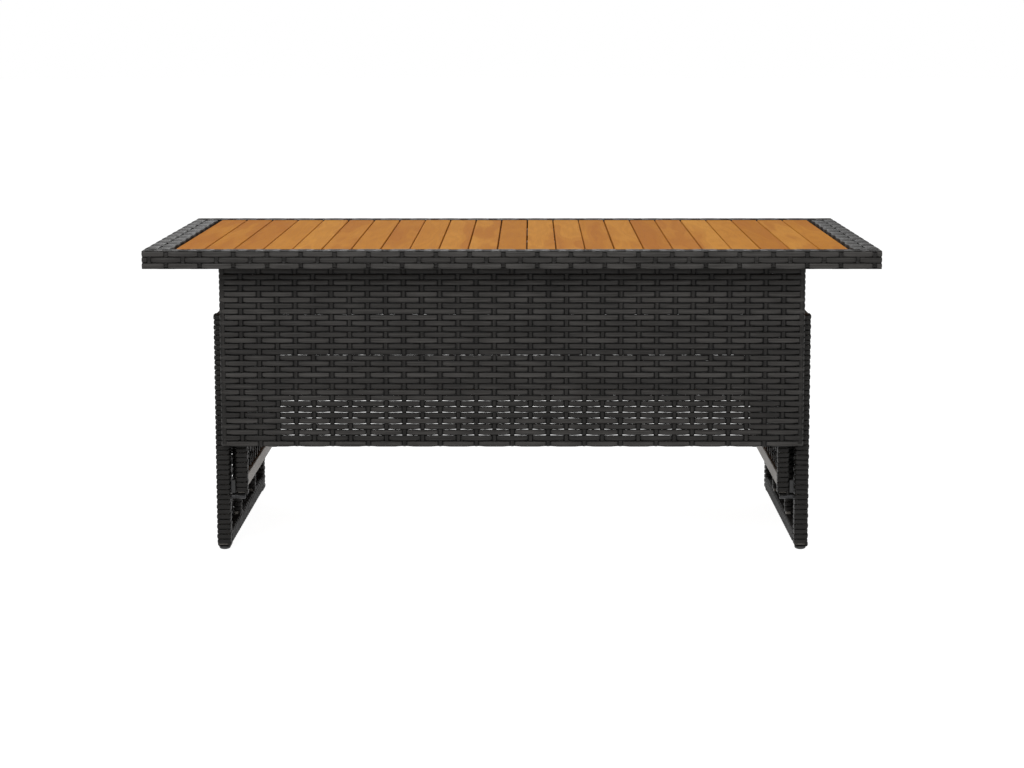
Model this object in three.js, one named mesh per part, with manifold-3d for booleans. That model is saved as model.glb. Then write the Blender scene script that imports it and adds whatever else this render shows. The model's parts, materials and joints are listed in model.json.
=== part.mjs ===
// A height-adjustable garden coffee table: a slatted acacia top in a woven border, carried by an
// upper unit that telescopes inside two wicker-wound end frames. Millimetres, +Z up, +X to the
// right, the front faces -Y. The origin is on the floor under the table's centre, and the table
// stands at its lower setting.
import * as THREE from 'three';
import { mergeVertices } from 'three/addons/utils/BufferGeometryUtils.js';
import Module from 'manifold-3d';

const wasm = await Module();
wasm.setup();

// Tabletop
const TABLE_LENGTH = 1000;
const TABLE_DEPTH = 500;
const TABLE_HEIGHT = 425;
const TOP_THICKNESS = 25;
const END_BORDER = 36;
const LONG_BORDER = 27;

// Slats
const SLAT_COUNT = 23;
const SLAT_PITCH = 39.85;
const SLAT_GAP = 1.6;
const SLAT_THICKNESS = 12;
const SLAT_EDGE_RADIUS = 1.6;
const SLAT_END_CLEARANCE = 1;

// Carrier bars under the slats
const CARRIER_WIDTH = 30;
const CARRIER_OFFSET = 192;

// Wicker on the steel, wound with one strip or woven, and the clearance between pieces that touch
const WINDING = 2.2;
const FIT = 0.3;
const SKIN = WINDING + FIT;
const WEAVE = 3.7;
const WEAVE_SKIN = WEAVE + FIT;
const WINDING_RADIUS = 3;

// End frames, one under each end of the table
const LEG_SPAN = 824;
const LEG_SECTION = 20;
const LEG_DEPTH = 390;
const LEG_HEIGHT = 331;
const FOOT_HEIGHT = 5;
const PANEL_DEPTH = 10;
const STILE_SECTION = 13;
const STILE_OFFSET = 76.5;

// Upper unit: woven skirts, and side frames that slide inside the end frames
const SKIRT_LENGTH = 804;
const SKIRT_BOTTOM = 149;
const SKIRT_INNER_FACE = 196;
const SKIRT_DEPTH = 12;
const SKIRT_BAR = 8;
const POST_SECTION = 17;
const POST_GAP = 7;
const POST_INSET = 2;
const POST_BOTTOM = 78;
const SIDE_PANEL_DEPTH = 9;
const RAIL_BOTTOM = 84;
const RAIL_HEIGHT = 18;
const RAIL_WIDTH = 15;
const RAIL_OUTER_OFFSET = 6;

// Height setting: pins in the end frames that the upper unit stands on
const LIFT = 200;
const PIN_RADIUS = 3.5;
const PIN_DEPTH = 13;
const PIN_REACH = 20;
const SHOE_HEIGHT = 18;
const SHOE_LIFT = 2;
const SHOE_WIDTH = 10;

// Glides
const GLIDE_RADIUS = 8;
const GLIDE_FACE_RADIUS = 5;
const GLIDE_STEM_RADIUS = 4;
const GLIDE_STEM_TOP = 18;
const ROUND_SIDES = 12;
const ARC_STEPS = 1;

// Places worked out from the sizes above
const TOP_UNDERSIDE = TABLE_HEIGHT - TOP_THICKNESS;
const SLAT_UNDERSIDE = TABLE_HEIGHT - SLAT_THICKNESS;
const CARRIER_BOTTOM = TOP_UNDERSIDE + WEAVE_SKIN;
const UPPER_UNIT_TOP = CARRIER_BOTTOM - FIT;
const LEG_OUTER_X = LEG_SPAN / 2;
const LEG_INNER_X = LEG_OUTER_X - LEG_SECTION;
const LEG_OUTER_Y = LEG_DEPTH / 2;
const LEG_INNER_Y = LEG_OUTER_Y - LEG_SECTION;
const POST_OUTER_X = LEG_INNER_X - POST_GAP;
const POST_INNER_X = POST_OUTER_X - POST_SECTION;
const POST_OUTER_Y = LEG_OUTER_Y - POST_INSET;
const POST_INNER_Y = POST_OUTER_Y - POST_SECTION;
const POST_MIDDLE_Y = (POST_OUTER_Y + POST_INNER_Y) / 2;
const PIN_Z = POST_BOTTOM - FIT - PIN_RADIUS;
const GLIDE_X = LEG_OUTER_X - LEG_SECTION / 2;
const GLIDE_Y = LEG_OUTER_Y - LEG_SECTION / 2;

// How far a welded rail runs into the tube that it joins
const WELD_LAP = 0.5;

const SIDES = { left: -1, right: 1 };
const FACES = { front: -1, back: 1 };

// Materials
const COLOURS = {
  wicker: { color: 0x3c3a38, roughness: 0.55, metalness: 0 },
  acacia: { color: 0xb9803f, roughness: 0.6, metalness: 0 },
  steel: { color: 0x77716a, roughness: 0.5, metalness: 0.3 },
  plastic: { color: 0x1b1b1c, roughness: 0.6, metalness: 0 },
  zinc: { color: 0xa9abad, roughness: 0.35, metalness: 0.9 },
};

// A three.js geometry as a manifold-3d solid.
function toSolid(geometry) {
  const bare = geometry.index ? geometry.toNonIndexed() : geometry.clone();
  bare.deleteAttribute('normal');
  bare.deleteAttribute('uv');
  const merged = mergeVertices(bare, 1e-4);
  const mesh = new wasm.Mesh({
    numProp: 3,
    vertProperties: merged.attributes.position.array,
    triVerts: new Uint32Array(merged.index.array),
  });
  return new wasm.Manifold(mesh);
}

// A manifold-3d solid as a three.js geometry.
function toGeometry(solid) {
  const mesh = solid.getMesh();
  const geometry = new THREE.BufferGeometry();
  geometry.setAttribute('position', new THREE.BufferAttribute(mesh.vertProperties, 3));
  geometry.setIndex(new THREE.BufferAttribute(mesh.triVerts, 1));
  geometry.computeVertexNormals();
  return geometry;
}

// A block between two limits along each axis, made larger all round by grow.
function block(x, y, z, grow = 0) {
  const size = [x, y, z].map(([low, high]) => high - low + 2 * grow);
  const middle = [x, y, z].map(([low, high]) => (low + high) / 2);
  return new THREE.BoxGeometry(...size).translate(...middle);
}

// A rectangle with rounded corners, centred on the origin.
function roundedRectangle(width, height, radius) {
  const shape = new THREE.Shape();
  const x = width / 2 - radius;
  const y = height / 2 - radius;
  shape.absarc(x, -y, radius, -Math.PI / 2, 0);
  shape.absarc(x, y, radius, 0, Math.PI / 2);
  shape.absarc(-x, y, radius, Math.PI / 2, Math.PI);
  shape.absarc(-x, -y, radius, Math.PI, 1.5 * Math.PI);
  return shape;
}

// A bar along one axis, with its long edges rounded.
function roundedBar(axis, x, y, z, radius) {
  const units = {
    x: new THREE.Vector3(1, 0, 0),
    y: new THREE.Vector3(0, 1, 0),
    z: new THREE.Vector3(0, 0, 1),
  };
  const order = { x: ['y', 'z', 'x'], y: ['z', 'x', 'y'], z: ['x', 'y', 'z'] }[axis];
  const limits = { x, y, z };
  const [width, height, length] = order.map((name) => limits[name][1] - limits[name][0]);
  const shape = roundedRectangle(width, height, radius);
  const settings = { depth: length, bevelEnabled: false, curveSegments: ARC_STEPS };
  const geometry = new THREE.ExtrudeGeometry(shape, settings);
  geometry.translate(0, 0, -length / 2);
  geometry.applyMatrix4(new THREE.Matrix4().makeBasis(...order.map((name) => units[name])));
  return geometry.translate(...[x, y, z].map(([low, high]) => (low + high) / 2));
}

// Two limits on one side of the middle: side is -1 or 1, near and far are distances from the middle.
function across(side, near, far) {
  return side < 0 ? [-far, -near] : [near, far];
}

// Limits that reach the same distance to both sides of the middle.
function centred(reach) {
  return [-reach, reach];
}

// Limits moved in by an amount at both ends.
function inset([low, high], amount) {
  return [low + amount, high - amount];
}

// Several geometries joined into one solid.
function join(geometries) {
  return geometries.map(toSolid).reduce((whole, piece) => whole.add(piece));
}

const table = new THREE.Group();

// Adds one sub-part to a group.
function addPart(group, name, geometry, material) {
  const mesh = new THREE.Mesh(geometry, new THREE.MeshStandardMaterial(COLOURS[material]));
  mesh.name = name;
  group.add(mesh);
}

// Welded tabletop frame: a tube ring with three carrier bars from end to end.
function topFrameSolid(grow = 0) {
  const steelZ = inset([TOP_UNDERSIDE, TABLE_HEIGHT], WEAVE_SKIN);
  const endReach = TABLE_LENGTH / 2 - WEAVE_SKIN;
  const longReach = TABLE_DEPTH / 2 - WEAVE_SKIN;
  const endNear = TABLE_LENGTH / 2 - END_BORDER + WEAVE_SKIN;
  const longNear = TABLE_DEPTH / 2 - LONG_BORDER + WEAVE_SKIN;
  const carrierZ = [CARRIER_BOTTOM, SLAT_UNDERSIDE - FIT];
  const bars = [];
  for (const side of Object.values(SIDES)) {
    bars.push(block(across(side, endNear, endReach), centred(longReach), steelZ, grow));
    bars.push(block(centred(endReach), across(side, longNear, longReach), steelZ, grow));
  }
  for (const middle of [-CARRIER_OFFSET, 0, CARRIER_OFFSET]) {
    const carrierY = [middle - CARRIER_WIDTH / 2, middle + CARRIER_WIDTH / 2];
    bars.push(block(centred(endNear + WELD_LAP), carrierY, carrierZ, grow));
  }
  return join(bars);
}

// U-shaped steel bar inside a woven skirt, hung from the outer carrier bar.
function skirtBarSolid(face, grow = 0) {
  const y = across(face, SKIRT_INNER_FACE + SKIN, SKIRT_INNER_FACE + SKIRT_DEPTH - WEAVE_SKIN);
  const reach = SKIRT_LENGTH / 2 - SKIN;
  const bottom = SKIRT_BOTTOM + SKIN;
  const bars = [block(centred(reach), y, [bottom, bottom + SKIRT_BAR], grow)];
  for (const side of Object.values(SIDES)) {
    bars.push(block(across(side, reach - SKIRT_BAR, reach), y, [bottom, UPPER_UNIT_TOP], grow));
  }
  return join(bars);
}

// Inner side frame of the upper unit: two posts and the bare rail welded between them.
function innerFrameSolid(side, grow = 0) {
  const x = inset(across(side, POST_INNER_X, POST_OUTER_X), SKIN);
  const railOuter = LEG_INNER_X - RAIL_OUTER_OFFSET;
  const railX = across(side, railOuter - RAIL_WIDTH, railOuter);
  const railZ = [RAIL_BOTTOM, RAIL_BOTTOM + RAIL_HEIGHT];
  const bars = [block(railX, centred(POST_INNER_Y + SKIN + WELD_LAP), railZ, grow)];
  for (const face of Object.values(FACES)) {
    const y = inset(across(face, POST_INNER_Y, POST_OUTER_Y), SKIN);
    bars.push(block(x, y, [POST_BOTTOM + SKIN, UPPER_UNIT_TOP], grow));
  }
  return join(bars);
}

// Support pin, set in an end frame's post and reaching in under the upper unit's post.
function pinGeometry(side, face, lift = 0, grow = 0) {
  const pin = new THREE.CylinderGeometry(PIN_RADIUS + grow, PIN_RADIUS + grow, 1, ROUND_SIDES);
  const start = LEG_INNER_X - PIN_REACH;
  const end = LEG_INNER_X + PIN_DEPTH + grow;
  pin.scale(1, end - start, 1).rotateZ(Math.PI / 2);
  return pin.translate((side * (start + end)) / 2, face * POST_MIDDLE_Y, PIN_Z + lift);
}

// Glide pressed into the foot of a post: a shallow dome on a stem.
function glideGeometry(side, face, grow = 0) {
  const profile = new THREE.Path();
  const shoulder = FOOT_HEIGHT - FIT;
  const edge = GLIDE_RADIUS - GLIDE_FACE_RADIUS;
  profile.moveTo(0, -grow);
  profile.lineTo(GLIDE_FACE_RADIUS, -grow);
  profile.absarc(GLIDE_FACE_RADIUS, edge - grow, edge, -Math.PI / 2, 0);
  profile.lineTo(GLIDE_RADIUS, shoulder);
  profile.lineTo(GLIDE_STEM_RADIUS + grow, shoulder);
  profile.lineTo(GLIDE_STEM_RADIUS + grow, GLIDE_STEM_TOP + grow);
  profile.lineTo(0, GLIDE_STEM_TOP + grow);
  const geometry = new THREE.LatheGeometry(profile.getPoints(ARC_STEPS), ROUND_SIDES);
  return geometry.rotateX(Math.PI / 2).translate(side * GLIDE_X, face * GLIDE_Y, 0);
}

// Cuts the pin holes of both height settings and the glide sockets from one side's solid.
function drill(solid, side) {
  let drilled = solid;
  for (const face of Object.values(FACES)) {
    drilled = drilled.subtract(toSolid(pinGeometry(side, face, 0, FIT)));
    drilled = drilled.subtract(toSolid(pinGeometry(side, face, LIFT, FIT)));
    drilled = drilled.subtract(toSolid(glideGeometry(side, face, FIT)));
  }
  return drilled;
}

// One of the two stiles between an end frame's rails, wound or bare.
function stileBlock(side, face, z, skin = 0, grow = 0) {
  const x = inset(across(side, LEG_INNER_X, LEG_INNER_X + STILE_SECTION), skin);
  const half = STILE_SECTION / 2;
  return block(x, inset(across(face, STILE_OFFSET - half, STILE_OFFSET + half), skin), z, grow);
}

// End frame: a welded ring of square tube with two thin stiles between its rails.
function endFrameSolid(side, grow = 0) {
  const x = inset(across(side, LEG_INNER_X, LEG_OUTER_X), SKIN);
  const z = [FOOT_HEIGHT + SKIN, LEG_HEIGHT - SKIN];
  const tube = LEG_SECTION - 2 * SKIN;
  const bars = [];
  for (const face of Object.values(FACES)) {
    bars.push(block(x, inset(across(face, LEG_INNER_Y, LEG_OUTER_Y), SKIN), z, grow));
  }
  const railReach = centred(LEG_INNER_Y + SKIN + WELD_LAP);
  bars.push(block(x, railReach, [z[0], z[0] + tube], grow));
  bars.push(block(x, railReach, [z[1] - tube, z[1]], grow));
  for (const face of Object.values(FACES)) {
    bars.push(stileBlock(side, face, inset(z, tube - WELD_LAP), SKIN, grow));
  }
  return join(bars);
}

// Slats, laid from front to back with a narrow gap between each pair.
function addSlats(group) {
  const width = SLAT_PITCH - SLAT_GAP;
  const y = centred(TABLE_DEPTH / 2 - LONG_BORDER - SLAT_END_CLEARANCE);
  for (let i = 0; i < SLAT_COUNT; i += 1) {
    const middle = (i - (SLAT_COUNT - 1) / 2) * SLAT_PITCH;
    const x = [middle - width / 2, middle + width / 2];
    const slat = roundedBar('y', x, y, [SLAT_UNDERSIDE, TABLE_HEIGHT], SLAT_EDGE_RADIUS);
    addPart(group, `slat_${String(i + 1).padStart(2, '0')}`, slat, 'acacia');
  }
}

// Woven border wound round the tabletop frame, in four lengths.
function addBorder(group) {
  const steel = topFrameSolid(FIT);
  const z = [TOP_UNDERSIDE, TABLE_HEIGHT];
  for (const [name, face] of Object.entries(FACES)) {
    const y = across(face, TABLE_DEPTH / 2 - LONG_BORDER, TABLE_DEPTH / 2);
    const border = toSolid(roundedBar('x', centred(TABLE_LENGTH / 2), y, z, WINDING_RADIUS));
    addPart(group, `border_${name}`, toGeometry(border.subtract(steel)), 'wicker');
  }
  for (const [name, side] of Object.entries(SIDES)) {
    const x = across(side, TABLE_LENGTH / 2 - END_BORDER, TABLE_LENGTH / 2);
    const y = centred(TABLE_DEPTH / 2 - LONG_BORDER - FIT);
    const border = toSolid(roundedBar('y', x, y, z, WINDING_RADIUS));
    addPart(group, `border_${name}`, toGeometry(border.subtract(steel)), 'wicker');
  }
}

// Front and back skirts with the steel bar inside each.
function addSkirts(group) {
  for (const [name, face] of Object.entries(FACES)) {
    const y = across(face, SKIRT_INNER_FACE, SKIRT_INNER_FACE + SKIRT_DEPTH);
    const z = [SKIRT_BOTTOM, UPPER_UNIT_TOP];
    const skirt = toSolid(roundedBar('x', centred(SKIRT_LENGTH / 2), y, z, WINDING_RADIUS));
    addPart(group, `skirt_${name}`, toGeometry(skirt.subtract(skirtBarSolid(face, FIT))), 'wicker');
    addPart(group, `skirt_bar_${name}`, toGeometry(skirtBarSolid(face)), 'steel');
  }
}

// Inner side frame, the woven panel wound round its posts, and a guide shoe on each post.
function addUpperSide(group, name, side) {
  addPart(group, `inner_frame_${name}`, toGeometry(innerFrameSolid(side)), 'steel');
  const panelMiddle = (POST_INNER_X + POST_OUTER_X) / 2;
  const panelX = across(side, panelMiddle - SIDE_PANEL_DEPTH / 2, panelMiddle + SIDE_PANEL_DEPTH / 2);
  const panelZ = [RAIL_BOTTOM + RAIL_HEIGHT + FIT, UPPER_UNIT_TOP];
  const pieces = [block(panelX, centred(POST_INNER_Y + WELD_LAP), panelZ)];
  const postX = across(side, POST_INNER_X, POST_OUTER_X);
  for (const face of Object.values(FACES)) {
    const postY = across(face, POST_INNER_Y, POST_OUTER_Y);
    pieces.push(roundedBar('z', postX, postY, [POST_BOTTOM, UPPER_UNIT_TOP], WINDING_RADIUS));
  }
  const panel = join(pieces).subtract(innerFrameSolid(side, FIT));
  addPart(group, `side_panel_${name}`, toGeometry(panel), 'wicker');
  for (const [faceName, face] of Object.entries(FACES)) {
    const x = inset(across(side, POST_OUTER_X, LEG_INNER_X), FIT);
    const y = across(face, POST_MIDDLE_Y - SHOE_WIDTH / 2, POST_MIDDLE_Y + SHOE_WIDTH / 2);
    const bottom = POST_BOTTOM + SHOE_LIFT;
    const shoe = roundedBar('z', x, y, [bottom, bottom + SHOE_HEIGHT], FIT * 3);
    addPart(group, `guide_shoe_${faceName}_${name}`, shoe, 'plastic');
  }
}

// End frame with its windings, woven panel, glides and support pins.
function addLeg(group, name, side) {
  const cavity = endFrameSolid(side, FIT);
  addPart(group, `end_frame_${name}`, toGeometry(drill(endFrameSolid(side), side)), 'steel');
  const x = across(side, LEG_INNER_X, LEG_OUTER_X);
  for (const [faceName, face] of Object.entries(FACES)) {
    const y = across(face, LEG_INNER_Y, LEG_OUTER_Y);
    const sleeve = toSolid(roundedBar('z', x, y, [FOOT_HEIGHT, LEG_HEIGHT], WINDING_RADIUS));
    const winding = drill(sleeve.subtract(cavity), side);
    addPart(group, `post_winding_${faceName}_${name}`, toGeometry(winding), 'wicker');
    addPart(group, `glide_${faceName}_${name}`, glideGeometry(side, face), 'plastic');
    addPart(group, `support_pin_${faceName}_${name}`, pinGeometry(side, face), 'zinc');
  }
  const railY = centred(LEG_INNER_Y - FIT);
  const rails = {
    bottom: [FOOT_HEIGHT, FOOT_HEIGHT + LEG_SECTION],
    top: [LEG_HEIGHT - LEG_SECTION, LEG_HEIGHT],
  };
  for (const [railName, z] of Object.entries(rails)) {
    const winding = toSolid(roundedBar('y', x, railY, z, WINDING_RADIUS)).subtract(cavity);
    addPart(group, `${railName}_rail_winding_${name}`, toGeometry(winding), 'wicker');
  }
  const panelX = across(side, LEG_OUTER_X - PANEL_DEPTH, LEG_OUTER_X);
  const panelZ = [rails.bottom[1] + FIT, rails.top[0] - FIT];
  const woven = [block(panelX, railY, panelZ)];
  for (const face of Object.values(FACES)) {
    woven.push(stileBlock(side, face, panelZ));
  }
  const panel = join(woven).subtract(cavity);
  addPart(group, `end_panel_${name}`, toGeometry(panel), 'wicker');
}

const upperUnit = new THREE.Group();
addPart(upperUnit, 'top_frame', toGeometry(topFrameSolid()), 'steel');
addSlats(upperUnit);
addBorder(upperUnit);
addSkirts(upperUnit);
table.add(upperUnit);

for (const [name, side] of Object.entries(SIDES)) {
  const leg = new THREE.Group();
  addUpperSide(upperUnit, name, side);
  addLeg(leg, name, side);
  table.add(leg);
}

export default table;
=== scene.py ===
"""The looks of a height-adjustable wicker coffee table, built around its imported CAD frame.

Every wicker piece is made of real strips: rows and stakes that pass over and under each other, and
single strips wound round the posts and rails. Metres, +Z up, the front faces -Y.
"""
import json
import math
import random

import bmesh
import bpy
import numpy as np
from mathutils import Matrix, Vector


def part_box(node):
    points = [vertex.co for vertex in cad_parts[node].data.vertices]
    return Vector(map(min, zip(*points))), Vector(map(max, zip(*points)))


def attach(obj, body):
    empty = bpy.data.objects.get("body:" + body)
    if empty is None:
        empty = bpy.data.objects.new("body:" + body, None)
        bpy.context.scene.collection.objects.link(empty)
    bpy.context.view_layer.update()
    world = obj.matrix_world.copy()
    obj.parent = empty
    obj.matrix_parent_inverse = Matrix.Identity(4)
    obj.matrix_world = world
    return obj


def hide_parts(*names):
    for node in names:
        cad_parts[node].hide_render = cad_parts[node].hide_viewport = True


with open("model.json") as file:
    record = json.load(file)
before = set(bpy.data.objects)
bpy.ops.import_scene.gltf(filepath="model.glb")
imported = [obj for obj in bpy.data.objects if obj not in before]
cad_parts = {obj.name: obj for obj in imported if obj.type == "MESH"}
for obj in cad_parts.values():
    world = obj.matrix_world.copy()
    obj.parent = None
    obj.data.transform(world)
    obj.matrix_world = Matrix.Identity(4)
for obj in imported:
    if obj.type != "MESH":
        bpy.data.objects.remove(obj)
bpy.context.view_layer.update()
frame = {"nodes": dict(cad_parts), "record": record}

MM = 0.001
BODY_OF = {
    node: body
    for body, nodes in frame["record"]["behaviour"]["bodies"].items()
    for node in nodes
}
SIDES = {"left": -1, "right": 1}
FACES = {"front": -1, "back": 1}
UP = np.array((0.0, 0.0, 1.0))
AXIS_Y, AXIS_Z = 1, 2

# Wicker strips: their sections, and how far they sway out of the sheet
ROW_THICKNESS = 1.2 * MM
STAKE_THICKNESS = 1.3 * MM
STAKE_WIDTH = 6.2 * MM
ROW_TONE = (0.0, 1.0)
# Stakes take a darker tone than the rows: painted shade for their heads, which lie recessed between
# the rows
STAKE_SHADE_TONE = (-0.35, 0.05)
ROW_SWAY = 1.3 * MM
DIVE = 5.5
STAKE_SWAY = 0.35 * MM
SHEET_HALF = ROW_SWAY + ROW_THICKNESS / 2

# Woven sheets. A row is full and touches its neighbours where it lies proud, and slim where it
# dives. The top SNUG_ROWS are full all along.
ROW_PITCH = 8.0 * MM
ROW_WIDTH = 7.4 * MM
FULL_ROW_WIDTH = ROW_PITCH + 0.05 * MM
SLIM_BELOW = 0.6
SLIM_SHARES = (0.97, 1.01)
SNUG_ROWS = 10
STAKE_PITCH = 24.8 * MM
ROW_STATIONS = (0.0, 0.09, 0.18, 0.32, 0.5, 0.68, 0.82, 0.91)
STAKE_STATIONS = (0.0, 0.5)

# How far a row and a stake lie from their even places, and a row's slow waves along its length
ROW_JITTER = 0.12 * MM
ROW_DRIFT = 0.1 * MM
DRIFT_WAVES = (1, 3)
STAKE_JITTER = 0.25 * MM

# Hooked ends of rows and stakes
END_FADE = 6.0 * MM
TURN_STEPS = 5
TUCK = 16 * MM

# Strips wound round posts and rails
WINDING_PITCH = 7.0 * MM
WINDING_WIDTH = 6.5 * MM
WINDING_THICKNESS = 1.1 * MM
WINDING_SWELL = 0.3 * MM
WINDING_CORNER = 3.0 * MM
# Windings take a darker tone than the rows: painted shade standing in for the dark lines between
# their turns
WINDING_SHADE_TONE = (-0.55, -0.3)
CORNER_STEPS = 3

# A winding's climb in turns, at each share of the way round: it climbs on two of the four sides
CLIMB_AT = (0, 0.25, 0.5, 0.75, 1)
CLIMB = (0, 0.5, 0.5, 1, 1)

# Strips over the end of a wound post
CAP_STRIPS = 3
CAP_FILL = 0.97
CAP_INSET = 1.6 * MM
CAP_BEND = 1.2 * MM
CAP_DEPTH = 4 * MM

# Bare parts of the upper unit's side frames. WRAP is the winding's room on the posts, and the
# rail reaches RAIL_BITE into them. The woven panel starts PANEL_GAP above the rail.
WRAP = 2.5 * MM
RAIL_LOW = 84 * MM
RAIL_SECTION = (15 * MM, 18 * MM)
RAIL_BEVEL = 1.8 * MM
RAIL_BITE = 1 * MM
POST_BEVEL = 1.2 * MM
PANEL_GAP = 0.3 * MM

# End panels
PANEL_DEPTH = 10 * MM

# Stiles between an end frame's rails
STILE_OFFSET = 70 * MM
STILE_SECTION = 13 * MM

# Woven border of the top
BORDER_PITCH = 22.8 * MM
BORDER_SIDE_ROWS = 3
BORDER_FILL = 0.985
BORDER_SHARES = (0.985, 1.0)
SHARP_DIVE = 8.0
SOFT_DIVE = 2.6
BORDER_LAP = 3.2 * MM
BORDER_CORNER = 2.2 * MM
CORNER_TURN_STEPS = 5
CORNER_RUN_SHARES = (0.35, 0.7, 1.0)
LOOP_JITTER = 0.2 * MM

# How strong a strip's painted shade at its edges is, which also spaces its ribs: 1 on most strips,
# less on the border, more on the skirts
BORDER_EDGE_SHADE = 0.88
SKIRT_EDGE_SHADE = 1.12

# Slats: how far each one lies below its CAD height and beside its place
SLAT_SINK = (-1.0 * MM, -0.7 * MM)
SLAT_SKEW = 0.2 * MM
SLAT_BEVEL = 1.3 * MM

# A glide's foot as radius and height in mm, from its centre out and up to its stem
GLIDE_FOOT = (
    (0, 0), (4.6, 0), (5.2, 0.1), (6.6, 0.7), (7.6, 1.8), (8, 3), (8, 4.2), (7.6, 4.7), (4, 4.7),
)
GLIDE_STEM_RADIUS = 4 * MM

# Support pins. The nose holds the socket and the chamfer, as radius and distance in mm
PIN_RADIUS = 3.5 * MM
PIN_NOSE = ((0, 1.2), (1.4, 1.1), (1.7, 0.3), (2.0, 0), (2.6, 0))
PIN_CHAMFER = 0.9 * MM
PIN_SHANK = 14 * MM
THREAD_PITCH = 1.25 * MM
THREAD_DEPTH = 0.5 * MM
THREAD_END = 0.8 * MM

SHOE_BEVEL = 0.9 * MM

# Faces smaller than this, in square metres, are rounded edges and are shaded smooth
SLAT_EDGE_FACE = 200e-6
FRAME_EDGE_FACE = 60e-6
SHOE_EDGE_FACE = 30e-6

# Light from in front of the table and from behind it, and where along Y it turns from one to
# the other
WORLD_FRONT = 0.12
WORLD_BACK = 0.95
WORLD_TURN = (-0.3, 0.8)
FLOOR_SIZE = 60
FLOOR_GLOW = 0.95
BACKDROP_RADIUS = 28

# Lamps: name, place, what they point at, size in metres and power in watts
LAMPS = (
    ("key", (-1.2, -2.8, 2.4), (0, 0, 0.3), 1.4, 72),
    ("fill", (2.0, -2.7, 1.6), (0, 0, 0.25), 1.4, 34),
    ("back", (-0.2, 2.4, 1.9), (0, 0, 0.4), 1.6, 22),
)

# Camera: a long lens in front of the table, tilted down
CAMERA_PLACE = (0.0264, -3.0915, 0.7223)
CAMERA_TILT = 6.80
CAMERA_LENS = 74.7
CAMERA_SHIFT = (-0.0190, -0.10)

# Cross-section of a strip: across from -1 to 1, and through from -1 to 1
PROFILE = np.array([
    (-1.0, -0.5), (-0.76, 0.4), (-0.3, 1.0), (0.3, 1.0),
    (0.76, 0.4), (1.0, -0.5), (0.78, -1.0), (-0.78, -1.0),
])
CAP_QUADS = np.array([(0, 1, 6, 7), (1, 2, 5, 6), (2, 3, 4, 5)])


def unit(vectors):
    return vectors / np.linalg.norm(vectors, axis=-1, keepdims=True)


class Strips:
    """Flat strips gathered into one mesh. Each point keeps how far along and across it lies."""

    def __init__(self, seed, edge=1.0):
        self.random = random.Random(seed)
        # edge stretches the across mark: it sets how strong the painted shade at the strip's edges
        # is, and spaces the ribs
        self.edge = edge
        self.points = []
        self.quads = []
        self.marks = []
        self.proud = []
        self.count = 0

    def stray(self, reach):
        """A random distance of up to reach either way."""
        return self.random.uniform(-reach, reach)

    def add(self, path, outward, width, thickness, proud=1.0, tone=ROW_TONE):
        """One strip along path, its broad side facing outward. width is one number, or one for
        each point. proud is 1 where it lies out in the open and -1 where it is under another."""
        path = np.asarray(path, float)
        outward = np.broadcast_to(np.asarray(outward, float), path.shape)
        tangent = unit(np.gradient(path, axis=0))
        side = unit(np.cross(tangent, outward))
        up = np.cross(side, tangent)
        across = PROFILE[:, 0] * np.broadcast_to(width, len(path))[:, None] / 2
        through = PROFILE[:, 1] * thickness / 2
        points = (
            path[:, None]
            + side[:, None] * across[:, :, None]
            + up[:, None] * through[None, :, None]
        )
        steps, size = len(path), len(PROFILE)
        first = (np.arange(steps - 1) * size)[:, None]
        near = np.arange(size)[None, :]
        far = (near + 1) % size
        quads = np.stack(
            [first + near, first + far, first + far + size, first + near + size], axis=-1
        ).reshape(-1, 4)
        caps = np.vstack([CAP_QUADS[:, ::-1], CAP_QUADS + (steps - 1) * size])
        run = np.concatenate([[0], np.cumsum(np.linalg.norm(np.diff(path, axis=0), axis=1))])
        marks = np.zeros((steps, size, 3))
        marks[:, :, 0] = run[:, None]
        marks[:, :, 1] = PROFILE[None, :, 0] * self.edge
        marks[:, :, 2] = self.random.uniform(*tone)
        self.points.append(points.reshape(-1, 3))
        self.quads.append(np.vstack([quads, caps]) + self.count)
        self.marks.append(marks.reshape(-1, 3))
        self.proud.append(np.repeat(np.broadcast_to(proud, steps), size))
        self.count += steps * size

    def build(self, name):
        """The strips as one smooth-shaded object."""
        points = np.vstack(self.points)
        quads = np.vstack(self.quads)
        mesh = bpy.data.meshes.new(name)
        mesh.vertices.add(len(points))
        mesh.vertices.foreach_set("co", points.ravel())
        mesh.loops.add(quads.size)
        mesh.loops.foreach_set("vertex_index", quads.ravel())
        mesh.polygons.add(len(quads))
        mesh.polygons.foreach_set("loop_start", np.arange(0, quads.size, 4))
        mesh.polygons.foreach_set("use_smooth", np.ones(len(quads), bool))
        mesh.update(calc_edges=True)
        mark = mesh.attributes.new("strip", "FLOAT_VECTOR", "POINT")
        mark.data.foreach_set("vector", np.vstack(self.marks).ravel())
        proud = mesh.attributes.new("proud", "FLOAT", "POINT")
        proud.data.foreach_set("value", np.concatenate(self.proud))
        obj = bpy.data.objects.new(name, mesh)
        bpy.context.scene.collection.objects.link(obj)
        return obj


def stand_for(obj, node, finish):
    """Lets an object stand for a CAD node, on the node's body and in one of the finishes."""
    obj.data.materials.append(MATERIALS[finish])
    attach(obj, BODY_OF[node])
    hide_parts(node)


# ---------------------------------------------------------------- woven sheets


def dive(turn, power=DIVE):
    """How far out a strip lies, from 1 over a stake to -1 under one, turn being its place in
    stakes from one that it passes over. The higher the power, the closer to the stake it dives."""
    over = (1 + np.cos(np.pi * turn)) / 2
    return 1 - 2 * (1 - over) ** power


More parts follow.
